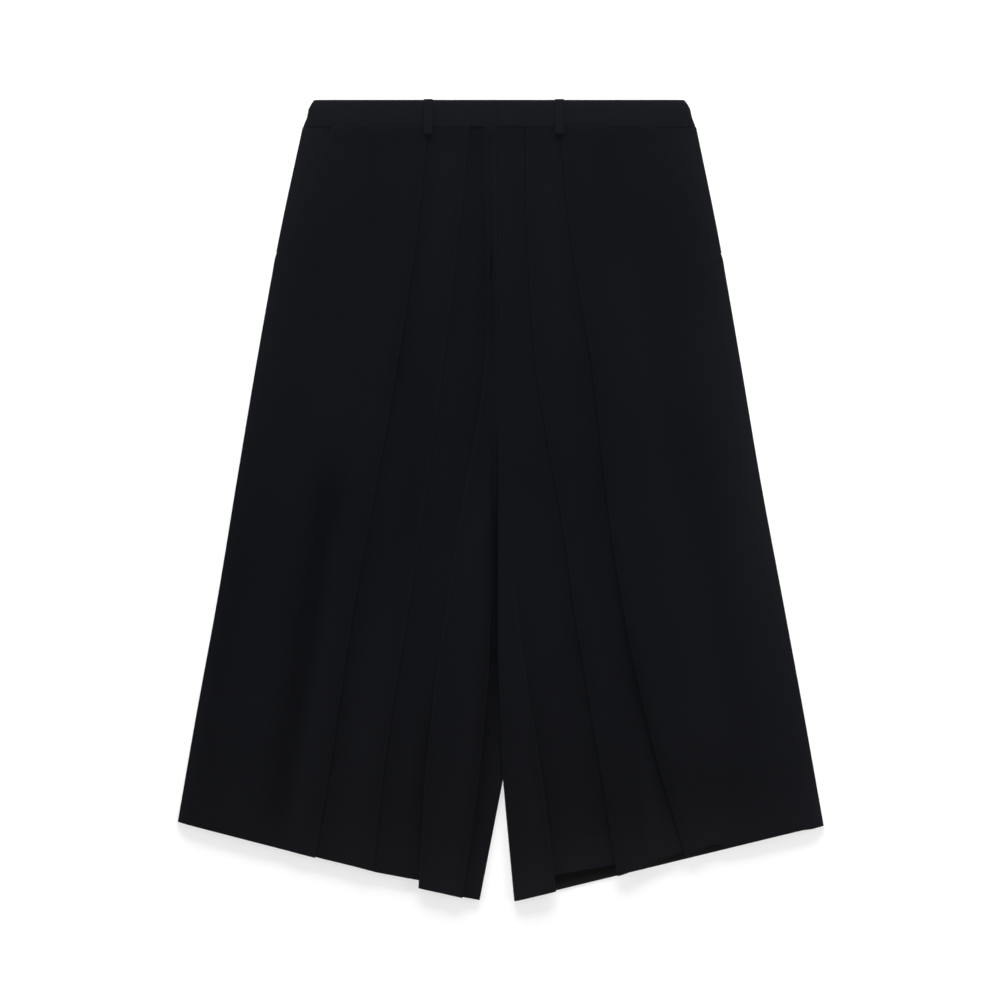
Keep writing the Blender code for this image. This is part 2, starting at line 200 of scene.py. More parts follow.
# A leg table's value at a station, along straight lines or along a smooth curve through its values.
def straightAt(values, v):
    i, t = stationSpan(v)
    return mix(values[i], values[i + 1], t)


def smoothAt(values, v):
    i, t = stationSpan(v)

    def slope(k):
        low, high = max(0, k - 1), min(len(stations) - 1, k + 1)
        return (values[high] - values[low]) / (stations[high] - stations[low])

    span = stations[i + 1] - stations[i]
    return (
        values[i] * (1 + 2 * t) * (1 - t) ** 2
        + slope(i) * span * t * (1 - t) ** 2
        + values[i + 1] * t * t * (3 - 2 * t)
        + slope(i + 1) * span * t * t * (t - 1)
    )


def straightArray(values, v):
    return np.interp(v, stations, values)


# The station is the same all along a row, so each row is worked out once.
def smoothArray(values, v):
    return np.vectorize(lambda at: smoothAt(values, at))(v[:, :1]).repeat(v.shape[1], axis=1)


cloth = {
    "wall": 0.7,
    "outerLevel": (3.55, 3.55, 3.6, 3.7, 3.8, 4.4, 6.0),  # mid-height of the plain outer cloth
    "lowLayer": (2.0, 2.3, 2.5, 2.6, 2.7, 3.0, 3.9),  # and of front cloth that lies on the back
    "layerStep": (0.85, 1.15, 1.3, 1.4, 1.5, 1.6, 1.6),  # from one folded layer up to the next
    "layerGap": 0.12,  # least room between two layers
    "flatShare": 0.45,  # share of its height that a fold keeps where it has no shade or isn't lapped
    "lapFree": 0.35,  # share of a pleat's folding after which its layers reach over each other
    "sideRoll": 14.0,
    "edgeLow": 0.45,
    "edgeFoot": 1.6,
    "centreGap": 0.1,
    "sideFall": (0.9, 16.0),  # how far it sinks towards the side seam, fading over the second value
    "sagZone": (0.93, 0.99),
    # creases and ripples fade in over these distances from the side seam and from the inner edge,
    # and over this station below the waistband
    "outerZone": 22.0,
    "innerZone": 8.0,
    "topZone": 0.04,
    "rippleWidth": 34.0,
    "rippleWaves": 3.4,  # in a leg's length
    "ripples": ((1.0, 0.55), (2.7, 0.2)),  # fineness and height
    # heights over which troughs, the side's fall, sags and the seam's swell reach their full size
    "troughRoom": (0.9, 3.9),
    "sideRoom": (1.6, 3.6),
    "sagRoom": (1.5, 3.5),
    "seamRoom": (1.2, 3.2),
    "seamRise": 0.5,  # the legs swell a little below the waistband seam and sink in under it
    "seamSink": 0.2,
    "seamOut": (0.0016, 0.0038, 0.03),  # stations: still under the band, out of it, level again
    # rows are closest together where the cloth comes out from under the waistband
    "topRows": (0.0, 0.001, 0.0019, 0.0027, 0.0034, 0.0042, 0.0055, 0.008, 0.012),
    "rowsFrom": 0.0165,  # the others run evenly from here to the hem
    "rows": 184,
    "outerColumns": 18,  # across the plain outer cloth, and across each stretch between two folds
    "columns": 9,
}
pocket = {
    "end": 0.19,  # station where its mouth meets the side seam
    "closed": 0.21,  # and where the front is rolled down to the side seam again
    "mouthLevel": 3.6,
    # the folded edge of its mouth, as share of the side roll's width and rise
    "lip": ((0.0, 0.0), (0.09, 0.05), (0.24, 0.3), (0.45, 0.35), (0.7, 0.2), (1.0, 0.0)),
    "level": 2.6,  # mid-height of the facing seen in it
    "tuck": 14.0,  # how far the facing goes in under the front
    "roll": 9.0,
    "topIn": 2.6,  # the facing keeps in under the end of the waistband
    "topZone": (0.0025, 0.0035),
    "swell": (0.65, 0.05),  # at the waistband, fading over this station
    "swellRoom": (1.4, 2.4),
    "topPaintedLight": (0.4, 1.8),  # how much painted light it has there, against the waistband's shadow, and how far that reaches
    "bottomGap": 0.007,
}
crotch = {
    "front": (0.485, 0.535),  # stations over which the fronts part
    "back": (0.475, 0.515),
    "lapEnd": (0.36, 0.42),  # and over which the lapped fronts come to lie edge to edge
    "footEnd": (0.85, 0.88),
    "backSeam": 1.5,
    # an edge that only meets the other one, as distance from the centre line and drop
    "met": ((2.6, 0.0), (2.0, 0.03), (1.5, 0.1), (1.1, 0.25), (0.75, 0.55), (0.45, 1.1)),
}


# Where a place on a leg lies on the garment.
def onBack(leg, v, w):
    sideW, innerW = smoothAt(leg["side"], v), straightAt(leg["inner"], v)
    sideY, innerY = mix(legTopY, leg["hem"][0], v), mix(legTopY, leg["hem"][1], v)
    return leg["sign"] * w, mix(sideY, innerY, (sideW - w) / (sideW - innerW))


# On the front, the hem is drawn up or hangs lower between the pleats.
def onFront(leg, v, w, lift):
    x, y = onBack(leg, v, w)
    for scallop in leg["scallops"]:
        lift += hill(w, *scallop)
    return x, y + lift * ease(v, hemZone, 1.0)


# A section's outer edge that rolls down to the surface, from its foot upwards.
def rolledEdge(w, level, width, wall, under=0.0):
    foot = max(cloth["edgeFoot"], wall + 0.3) + under
    path = [(w - wall / 2 - under, cloth["edgeLow"] + 0.2 * under)]
    for degrees in (0.0, 22.5, 45.0, 67.5, 90.0):
        angle = math.radians(degrees)
        path.append((
            w - wall / 2 - width * (1 - math.cos(angle)),
            foot + (level - foot) * math.sin(angle),
        ))
    return path


def pocketEdge(leg, v):
    share = v / pocket["end"]
    bow = leg["pocketBow"] * math.sin(math.pi * min(1.0, share))
    return mix(leg["pocketTop"], smoothAt(leg["side"], pocket["end"]), share) + bow


# The mouth of the pocket, and below it the roll down to the side seam.
def outerEdge(leg, v):
    closed = ease(v, pocket["end"], pocket["closed"])
    w = smoothAt(leg["side"], v) if v >= pocket["end"] else pocketEdge(leg, v)
    level = smoothAt(cloth["outerLevel"], v)
    rolled = rolledEdge(w, level, cloth["sideRoll"], cloth["wall"])
    mouthLevel = max(level, pocket["mouthLevel"])
    mouth = [(w - share * cloth["sideRoll"], mouthLevel + rise) for share, rise in pocket["lip"]]
    return [(mix(m[0], r[0], closed), mix(m[1], r[1], closed)) for m, r in zip(mouth, rolled)]


# Down to the crotch one front is lapped over the other, below it each edge rolls under to the back.
def innerEdge(leg, v):
    parted, lapped = ease(v, *crotch["front"]), 1 - ease(v, *crotch["lapEnd"])
    w, level = straightAt(leg["inner"], v), smoothAt(leg["endLevel"], v)
    seam = []
    for met, over in zip(crotch["met"], leg["lap"]):
        away, drop = mix(met[0], over[0], lapped), mix(met[1], over[1], lapped)
        seam.append((w + cloth["centreGap"] / 2 + away, level - drop))
    under = leg["footIn"] * parted * (1 - ease(v, *crotch["footEnd"]))
    outwards = rolledEdge(-w, level, smoothAt(leg["endRoll"], v), cloth["wall"], under)
    rolled = [(-point[0], point[1]) for point in reversed(outwards)]
    return [(mix(s[0], r[0], parted), mix(s[1], r[1], parted)) for s, r in zip(seam, rolled)]


# A pressed pleat: over its visible edge, back below itself, round its hidden edge and out again.
def lappedFold(depth, top, low, shade=1.0):
    radius = (top - low) / 4
    fill = (top - low) * (1 - 0.5 * shade)
    return [
        (radius + 4.0, top - 0.1), (radius + 1.6, top),
        *arc((radius, top - radius), radius, (90, 135, 180, 225, 270)),
        (depth / 2, top - 2 * radius),
        *arc((depth - radius, low + radius), radius, (90, 45, 0, -45, -90)),
        (depth / 2, low), (0.3, low + 0.05), (-1.1, low + 0.45 * fill), (-2.6, low + 0.75 * fill),
    ]


# The same pleat where it is only a soft step in the cloth, with as many points.
def openFold(top, low, width):
    shares = steps(len(lappedFold(10.0, 5.0, 1.0)) - 1)
    return [(mix(3.6, -2.6, share) * width, mix(top, low, ease(share))) for share in shares]


def pleatPath(leg, pleat, v):
    stands, folds = ease(v, *pleat["stands"]), ease(v, *pleat["folds"])
    depth = mix(pleat["depth"][0], pleat["depth"][1], v)
    low = mix(smoothAt(leg["endLevel"], v), smoothAt(cloth["lowLayer"], v), stands)
    shade = min(1.0, straightAt(pleat["shade"], v))
    step = smoothAt(cloth["layerStep"], v) * mix(cloth["flatShare"], 1.0, shade)
    top = low + 2 * max(cloth["wall"] + cloth["layerGap"], step) * stands
    low = mix(top - cloth["flatShare"] * (top - low), low, folds)
    path = openFold(top, low, 0.3 + 0.7 * stands)
    if folds:
        least = (top - low) / 2 + 1.0
        depth = mix(least, depth, max(0.0, folds - cloth["lapFree"]) / (1 - cloth["lapFree"]))
        shape = min(1.0, folds / cloth["lapFree"])
        shut = lappedFold(depth, top, low, shade)
        path = [(mix(o[0], s[0], shape), mix(o[1], s[1], shape)) for o, s in zip(path, shut)]
    hold = max(0.0, depth + 2.0 - abs(path[0][0])) * folds
    holds = (hold, 0.0)
    if pleat["faces"] == "side":
        path = [(-offset, z) for offset, z in reversed(path)]
        holds = (0.0, hold)
    w = smoothAt(pleat["edge"], v)
    return [(w + offset, z) for offset, z in path], holds


# Plain cloth between two folds: level over a hidden fold, a soft drop off it, then level again.
def plainCloth(start, end, holds, middle, shares):
    fromW, toW = start[0] - holds[0], end[0] + holds[1]
    path = []
    for share in shares:
        w = mix(start[0], end[0], share)
        levelA = mix(start[1], middle["level"], ease(fromW - w, 0.0, middle["drop"]))
        levelB = mix(end[1], middle["level"], ease(w - toW, 0.0, middle["drop"]))
        path.append((w, mix(levelA, levelB, ease(share))))
    return path


# The front's cloth at one station, from the side seam to the inner edge: w, height and hem lift.
def frontSection(leg, v):
    path = outerEdge(leg, v)
    lifts = [0.0] * len(path)
    shares = steps(cloth["outerColumns"])[1:-1]
    holdBefore = 0.0
    middle = {"level": smoothAt(cloth["outerLevel"], v), "drop": 14.0}
    for number, pleat in enumerate(leg["pleats"]):
        fold, holds = pleatPath(leg, pleat, v)
        if number:
            low, high = sorted((fold[0][1], path[-1][1]))
            shade = min(1.0, straightAt(leg["pleats"][number - 1]["shade"], v))
            middle = {"level": mix(low, high, 0.9 - 0.35 * shade), "drop": 7.0 + 5.0 * shade}
        path += plainCloth(path[-1], fold[0], (holdBefore, holds[0]), middle, shares) + fold
        before, after = leg["lift"][number][1], leg["lift"][number + 1][0]
        lifts += [mix(*leg["lift"][number], share) for share in shares]
        lifts += [mix(before, after, ease(share, 0.25, 0.75)) for share in steps(len(fold) - 1)]
        holdBefore = holds[1]
        shares = steps(cloth["columns"])[1:-1]
    end = innerEdge(leg, v)
    middle = {"level": mix(path[-1][1], end[0][1], 0.5), "drop": 10.0}
    path += plainCloth(path[-1], end[0], (holdBefore, 0.0), middle, shares) + end
    lifts += [mix(*leg["lift"][-1], share) for share in shares] + [leg["lift"][-1][1]] * len(end)
    return [(w, z, lift) for (w, z), lift in zip(path, lifts)]


# Halves every stretch of each row and rounds the corners, as one step of a cubic spline does.
def splitColumns(rows):
    rows = np.array(rows)
    split = np.empty((rows.shape[0], rows.shape[1] * 2 - 1, rows.shape[2]))
    split[:, 0::2] = rows
    split[:, 2:-1:2] = rows[:, 1:-1] * 0.75 + (rows[:, 2:] + rows[:, :-2]) * 0.125
    split[:, 1::2] = (rows[:, 1:] + rows[:, :-1]) / 2
    return split


# Each crease is a soft hill or trough across its line, and fades in and out at its ends.
def creaseHeight(creases, w, v):
    total = np.zeros_like(w)
    for height, half, line in creases:
        at = [point[0] for point in line]
        middle = np.interp(v, at, [point[1] for point in line])
        run = min(0.12, (at[-1] - at[0]) / 3)
        start, end = ramp(v, at[0], at[0] + run), ramp(v, at[-1], at[-1] - run)
        grown = start * start * (3 - 2 * start) * end * end * (3 - 2 * end)
        total += grown * hill(w, height, middle, half)
    return total


# All by the distance from a fold's edge, positive over the side that is on top.
pressedFold = {
    "ridge": (0.4, 9.0, 6.5),  # the cloth on top rises beside it
    "dip": (0.6, -6.5, 5.5),  # and the cloth below sinks
    "topZone": (0.0, 0.06),
    "line": (-0.12, -2.5, 10.0),  # painted shade along it
    "edge": (0.09, 0.0, 1.8),  # and a painted highlight on its very edge
    # painted light over the cloth on top, and painted shade over the cloth below
    "above": (0.02, 16.0, 9.0),
    "below": (-0.05, 14.0),
}


# For each row of each pleat: every point's distance from the fold's edge, the pleat's shade, and how
# far it has risen.
def pleatRows(leg, w, lines):
    for pleat in leg["pleats"]:
        towards = 1.0 if pleat["faces"] == "middle" else -1.0
        for r, v in enumerate(lines):
            away = towards * (w[r] - smoothAt(pleat["edge"], v))
            yield r, away, straightAt(pleat["shade"], v), ease(v, *pleat["stands"])


def besideFolds(leg, w, lines):
    total = np.zeros_like(w)
    for r, away, shade, stands in pleatRows(leg, w, lines):
        rise, sink = hill(away, *pressedFold["ridge"]), hill(away, *pressedFold["dip"])
        total[r] += stands * ease(lines[r], *pressedFold["topZone"]) * shade * (rise - sink)
    return total


# Painted shade along each pleat's fold, with painted light beside it on top and a painted highlight on its
# edge.
def foldShade(leg, w, lines):
    total = np.zeros_like(w)
    for r, away, shade, stands in pleatRows(leg, w, lines):
        above, below = hill(away, *pressedFold["above"]), fade(-away, *pressedFold["below"])
        line = hill(away, *pressedFold["line"]) + np.where(away > 0, above, below)
        total[r] += (line * shade + hill(away, *pressedFold["edge"])) * stands
    return total


# Painted light and shade in the cloth's colour, from 0 dark to 1 light, what is added to it, and where and
# how far that reaches.
paintedShadingTone = {
    "plain": 0.53,
    "rimReach": 20.0,
    "hemReach": 45.0,
    "waist": (0.06, 0.0, 110.0),
    "underBand": (0.24, 1.5),  # a strip of painted light just below the waistband, against the shadow of its edge
    "underBandAt": 2.2,
    "centre": (0.1, 0.0, 1.6),  # painted light along the centre front, down to the crotch
    "centreEnd": (0.45, 0.4),
    "gap": (10.5, 8.5),  # distances from the inner edge over which the gap's own nap comes in
    "crease": 0.085,  # painted light on a crease's hill and painted shade in its trough, for each millimetre of its height
    "press": 0.3,  # and of a pressed place's, which also sinks the cloth there: painted shade in its groove
    "lowCloth": (0.35, 2.2),  # painted light on cloth just below the waistband that a fold stands over, against the shadow there
    "lowClothAt": 3.0,
    "lowClothTop": (3.2, 2.2),
}


# Painted light towards the side seam, below the waist, just below the waistband, along the hem and along the
# centre front; painted shade over the leg's outer half and deep in the gap between the legs.
def legPaintedShading(leg, w, v):
    fromSide = smoothArray(leg["side"], v) - w
    fromInner = w - straightArray(leg["inner"], v)
    fromTop, fromHem = v * legLength, (1 - v) * legLength
    inwards = np.clip(fromSide / (fromSide + fromInner), 0, 1)
    outer, inner = straightArray(leg["sidePaintedShade"], v), straightArray(leg["innerPaintedLight"], v)
    paintedShading = paintedShadingTone["plain"] + mix(outer, inner, inwards)
    paintedShading += fade(np.clip(fromSide, 0, None), straightArray(leg["rim"], v), paintedShadingTone["rimReach"])
    paintedShading += hill(fromTop, *paintedShadingTone["waist"])
    paintedShading += fade(np.abs(fromTop - paintedShadingTone["underBandAt"]), *paintedShadingTone["underBand"])
    paintedShading += hill(fromHem, mix(*leg["hemPaintedLight"], inwards), 0.0, paintedShadingTone["hemReach"])
    paintedShading += hill(fromInner, *paintedShadingTone["centre"]) * ramp(v, *paintedShadingTone["centreEnd"])
    return paintedShading + straightArray(leg["gapPaintedShade"], v) * ramp(fromInner, *paintedShadingTone["gap"])


# A grid primitive laid out row by row, with a UV map in metres of cloth, then given its thickness.
def layCloth(name, rows, wall, finish, paintedShading=0.5, bevel=0.0, even=True):
    down, across = rows.shape[:2]
    bpy.ops.mesh.primitive_grid_add(x_subdivisions=across - 1, y_subdivisions=down - 1, size=2)
    piece = bpy.context.object
    piece.name = name
    mesh = piece.data
    mesh.name = name
    flat = np.empty(len(mesh.vertices) * 3)
    mesh.vertices.foreach_get("co", flat)
    flat = flat.reshape(-1, 3)
    column = np.rint((flat[:, 0] + 1) / 2 * (across - 1)).astype(int)
    row = np.rint((flat[:, 1] + 1) / 2 * (down - 1)).astype(int)
    mesh.vertices.foreach_set("co", (rows[row, column] * mm).ravel())
    stepAcross = np.linalg.norm(np.diff(rows, axis=1), axis=2)
    stepDown = np.linalg.norm(np.diff(rows, axis=0), axis=2)
    u = np.concatenate([np.zeros((down, 1)), np.cumsum(stepAcross, axis=1)], axis=1) * mm
    v = np.concatenate([np.zeros((1, across)), np.cumsum(stepDown, axis=0)], axis=0) * mm
    corner = np.empty(len(mesh.loops), int)
    mesh.loops.foreach_get("vertex_index", corner)
    sameWay = 1 if rows[0, -1, 0] > rows[0, 0, 0] else -1  # the twill leans the same way on both legs
    uv = np.stack([sameWay * u[row, column][corner], -v[row, column][corner]], axis=1)
    mesh.uv_layers[0].data.foreach_set("uv", uv.ravel())
    # painted light and shade, from 0 dark to 1 light, kept on every point for the cloth's colour
    paintedShading = np.clip(np.broadcast_to(paintedShading, (down, across)), 0, 1)
    mesh.attributes.new("paintedShading", "FLOAT", "POINT").data.foreach_set("value", paintedShading[row, column])
    mesh.update()
    thickness = piece.modifiers.new("Thickness", "SOLIDIFY")
    thickness.thickness = wall * mm
    thickness.offset = 0.0
    thickness.use_even_offset = even
    thickness.use_quality_normals = True
    bpy.ops.object.modifier_apply(modifier="Thickness")
    if bevel:
        edge = piece.modifiers.new("Edge", "BEVEL")
        edge.width = bevel * mm
        edge.segments = 2
        edge.limit_method = "ANGLE"
        edge.angle_limit = math.radians(50)
        bpy.ops.object.modifier_apply(modifier="Edge")
    bpy.ops.object.shade_smooth_by_angle(angle=math.radians(50))
    mesh.materials.clear()
    mesh.materials.append(finish)
    piece.select_set(False)
    return piece


def clothRipple(leg, w, v):
    ripple = np.empty_like(w)
    for r, c in np.ndindex(w.shape):
        spot = Vector((w[r, c] / cloth["rippleWidth"], v[r, c] * cloth["rippleWaves"], leg["seed"]))
        ripple[r, c] = sum(noise.noise(spot * fine) * height for fine, height in cloth["ripples"])
    return ripple


# The front's heights with its creases and ripples, less so on cloth that already lies low.
def softFront(leg, w, v, z, lines, creases):
    fromSide = smoothArray(leg["side"], v) - w
    inward = ramp(w - straightArray(leg["inner"], v), 0.0, cloth["innerZone"])
    relief = (creases + clothRipple(leg, w, v)) * ramp(fromSide, 0.0, cloth["outerZone"]) * inward
    relief += besideFolds(leg, w, lines) * inward
    relief *= ramp(v, 0.0, cloth["topZone"])
    z = z + np.where(relief < 0, relief * ramp(z, *cloth["troughRoom"]), relief)
    z = z - fade(fromSide, *cloth["sideFall"]) * ramp(z, *cloth["sideRoom"])
    for sag in leg["sags"]:
        low = hill(w, *sag) * ramp(v, *cloth["sagZone"])
        z = z - low * ramp(z, *cloth["sagRoom"])
    under, out = np.interp(v, cloth["seamOut"][:2], (1, 0)), np.interp(v, cloth["seamOut"], (0, 1, 0))
    return z + (cloth["seamRise"] * out - cloth["seamSink"] * under) * ramp(z, *cloth["seamRoom"])


def frontLeg(name, leg, finish):
    lines = [*cloth["topRows"], *(mix(cloth["rowsFrom"], 1.0, share) for share in steps(cloth["rows"]))]
    rows = splitColumns([frontSection(leg, v) for v in lines])
    v = np.repeat(np.array(lines)[:, None], rows.shape[1], axis=1)
    w, lift = rows[..., 0], rows[..., 2]
    creases = creaseHeight(leg["creases"], w, v)
    pressed = paintedShadingTone["press"] * creaseHeight(leg["pressed"], w, v)
    z = softFront(leg, w, v, rows[..., 1], lines, creases + pressed)
    # painted light and shade from the leg's tables, its folds, creases and pressed places, and painted light
    # on low cloth below the waistband
    paintedShading = legPaintedShading(leg, w, v) + foldShade(leg, w, lines) + paintedShadingTone["crease"] * creases + pressed
    lowCloth = fade(np.abs(v * legLength - paintedShadingTone["lowClothAt"]), *paintedShadingTone["lowCloth"])
    inward = ramp(w - straightArray(leg["inner"], v), 0.0, cloth["innerZone"])
    paintedShading += lowCloth * ramp(z, *paintedShadingTone["lowClothTop"]) * inward
    places = np.empty(rows.shape)
    for r, c in np.ndindex(w.shape):
        places[r, c, :2] = onFront(leg, lines[r], w[r, c], lift[r, c])
    places[..., 2] = z
    return layCloth(name, places, cloth["wall"], finish, paintedShading)


back = {
    "inset": 0.55,  # beside the front's wall
    "rows": 70,
    "crowding": 1.6,  # rows lie closer together towards the hem, where they show
    "columns": 48,
    "paintedShading": 0.4,
    "edgePaintedLight": (0.6, 0.0, 5.5),  # painted light added at the hem's edge, in the shadow of the front's lifted hem
}


# The back lies flat on the floor, its wrong side up, which shows where the front's hem is drawn up.
def backLeg(name, leg, outside, inside):
    inset = cloth["wall"] + back["inset"]
    lines = [leg["backHem"] * (1 - (1 - share) ** back["crowding"]) for share in steps(back["rows"])]
    rows = []
    for v in lines:
        side = smoothAt(leg["side"], v) - inset
        seam = cloth["centreGap"] / 2 + leg["sign"] * crotch["backSeam"]
        inner = straightAt(leg["inner"], v) + mix(seam, inset, ease(v, *crotch["back"]))
        across = [mix(side, inner, share) for share in steps(back["columns"])]
        rows.append([(*onBack(leg, v, w), cloth["wall"] / 2) for w in across])
    # painted light along the hem's edge
    fromHem = (leg["backHem"] - np.array(lines)) * legLength
    paintedShading = back["paintedShading"] + hill(fromHem, *back["edgePaintedLight"])[:, None]
    piece = layCloth(name, np.array(rows), cloth["wall"], outside, paintedShading, bevel=0.15)
    piece.data.materials.append(inside)
    for face in piece.data.polygons:
        face.material_index = 1 if face.normal.z > 0.5 else 0
    mark = piece.data.attributes["paintedShading"].data
    for point in piece.data.vertices:
        if point.co.z < 0.4 * cloth["wall"] * mm:
            mark[point.index].value = paintedShadingTone["plain"]
    return piece


# The cloth seen inside a pocket's mouth, from the side seam to below the front.
def pocketFacing(name, leg, finish):
    last = pocket["end"] - pocket["bottomGap"]
    rows = []
    for v in (last * share for share in steps(40)):
        topIn = pocket["topIn"] * (1 - ease(v, *pocket["topZone"]))
        path = rolledEdge(smoothAt(leg["side"], v) - topIn, pocket["level"], pocket["roll"], cloth["wall"])
        under = pocketEdge(leg, v) - pocket["tuck"]
        path += [(mix(path[-1][0], under, share), pocket["level"]) for share in steps(6)[1:]]
        swell = fade(v, *pocket["swell"])
        rows.append([(w, v, z + swell * ramp(z, *pocket["swellRoom"])) for w, z in path])
    rows = splitColumns(rows)
    w, v = rows[..., 0], rows[..., 1]
    # painted light on the facing, with more of it just below the waistband
    paintedShading = legPaintedShading(leg, w, v) + fade(np.abs(v * legLength - paintedShadingTone["underBandAt"]), *pocket["topPaintedLight"])
    places = np.array([[(*onBack(leg, v, w), z) for w, v, z in row] for row in rows])
    return layCloth(name, places, cloth["wall"], finish, paintedShading)


# A new material with these values in its shader, its node tree and the shader.
def newFinish(name, values):
    finish = bpy.data.materials.new(name)
    finish.use_nodes = True
    shader = finish.node_tree.nodes["Principled BSDF"]
    for label, value in values.items():
        shader.inputs[label].default_value = value
    return finish, finish.node_tree, shader


# A new node group with its sockets, and its input and output nodes.
def newGroup(name, inputs, outputs):
    group = bpy.data.node_groups.new(name, "ShaderNodeTree")
    for label, kind, value in inputs:
        socket = group.interface.new_socket(name=label, in_out="INPUT", socket_type=kind)
        if value is not None:
            socket.default_value = value
    for label, kind in outputs:
        group.interface.new_socket(name=label, in_out="OUTPUT", socket_type=kind)
    start = group.nodes.new("NodeGroupInput")
    end = group.nodes.new("NodeGroupOutput")
    return group, start, end


def mathNode(tree, operation, a, b=None):
    node = tree.nodes.new("ShaderNodeMath")
    node.operation = operation
    for index, value in enumerate((a, b)):
        if value is None:
            continue
        if isinstance(value, (int, float)):
            node.inputs[index].default_value = value
        else:
            tree.links.new(value, node.inputs[index])
    return node.outputs[0]


def product(tree, a, b):
    return mathNode(tree, "MULTIPLY", a, b)


def plus(tree, a, b):
    return mathNode(tree, "ADD", a, b)


def noiseNode(tree, vector, scale, detail):
    node = tree.nodes.new("ShaderNodeTexNoise")
    node.inputs["Scale"].default_value = scale
    node.inputs["Detail"].default_value = detail
    tree.links.new(vector, node.inputs["Vector"])
    return node.outputs["Fac"]


def colourMix(tree, a, b, factor, blend="MIX"):
    node = tree.nodes.new("ShaderNodeMix")
    node.data_type = "RGBA"
    node.blend_type = blend
    for socket, value in ((node.inputs["Factor"], factor), (node.inputs[6], a), (node.inputs[7], b)):
        if isinstance(value, (float, tuple)):
            socket.default_value = value
        else:
            tree.links.new(value, socket)
    return node.outputs[2]


# Diagonal ribs and the single threads that float over them, on the cloth's own UV map.
def twillWeave():
    group, start, end = newGroup(
        "twillWeave",
        (("Vector", "NodeSocketVector", None), ("Ribs per metre", "NodeSocketFloat", 1450.0),
         ("Unevenness", "NodeSocketFloat", 0.35)),
        (("Height", "NodeSocketFloat"), ("Thread tone", "NodeSocketFloat")),
    )
    ribs = start.outputs["Ribs per metre"]
    parts = group.nodes.new("ShaderNodeSeparateXYZ")
    group.links.new(start.outputs["Vector"], parts.inputs[0])
    x, y = parts.outputs["X"], parts.outputs["Y"]
    wobble = noiseNode(group, start.outputs["Vector"], 320.0, 3.0)
    diagonal = plus(group, x, product(group, y, 0.5))
    uneven = product(group, wobble, start.outputs["Unevenness"])
    ribPhase = plus(group, product(group, diagonal, ribs), uneven)
    rib = mathNode(group, "SINE", product(group, ribPhase, 2 * math.pi))
    floats = product(group, mathNode(group, "SUBTRACT", y, product(group, x, 0.5)), ribs)
    bead = mathNode(group, "SINE", product(group, floats, 3 * math.pi))
    height = plus(group, product(group, rib, 0.8), product(group, bead, 0.2))
    group.links.new(height, end.inputs["Height"])
    threadTone = plus(group, product(group, height, 0.25), 0.5)
    blend = plus(group, product(group, threadTone, 0.6), product(group, wobble, 0.4))
    group.links.new(blend, end.inputs["Thread tone"])
    return group


# The cloth's colour between dark and light, from its painted light and shade, its threads, single fibres and
# broad clouds.
def clothTone():
    group, start, end = newGroup(
        "clothTone",
        (("Vector", "NodeSocketVector", None), ("Thread tone", "NodeSocketFloat", 0.5),
         ("Painted shading", "NodeSocketFloat", 0.5),
         ("Dark", "NodeSocketColor", None),
         ("Light", "NodeSocketColor", None)),
        (("Color", "NodeSocketColor"), ("Roughness", "NodeSocketFloat")),
    )
    broad = noiseNode(group, start.outputs["Vector"], 5.5, 3.0)
    fibre = noiseNode(group, start.outputs["Vector"], 900.0, 1.0)
    share = mathNode(group, "SUBTRACT", start.outputs["Painted shading"], 0.385)
    for value, weight in ((start.outputs["Thread tone"], 0.2), (fibre, 0.12), (broad, 0.25)):
        share = plus(group, share, product(group, value, weight))
    share = mathNode(group, "MINIMUM", plus(group, share, 0.1), 1.0)
    share = mathNode(group, "MAXIMUM", share, 0.0)
    colour = colourMix(group, start.outputs["Dark"], start.outputs["Light"], share)
    # the blue is a little stronger at the waist and fades towards the hem
    parts = group.nodes.new("ShaderNodeSeparateXYZ")
    group.links.new(start.outputs["Vector"], parts.inputs[0])
    lowness = group.nodes.new("ShaderNodeMapRange")
    lowness.inputs["From Min"].default_value = 0.15
    lowness.inputs["From Max"].default_value = -0.36
    group.links.new(parts.outputs["Y"], lowness.inputs["Value"])
    tint = colourMix(group, (0.98, 1.03, 1.0, 1), (1.06, 1.01, 0.93, 1), lowness.outputs["Result"])
    group.links.new(colourMix(group, colour, tint, 1.0, "MULTIPLY"), end.inputs["Color"])
    group.links.new(plus(group, 0.86, product(group, fibre, 0.06)), end.inputs["Roughness"])
    return group


weave = twillWeave()
tones = clothTone()


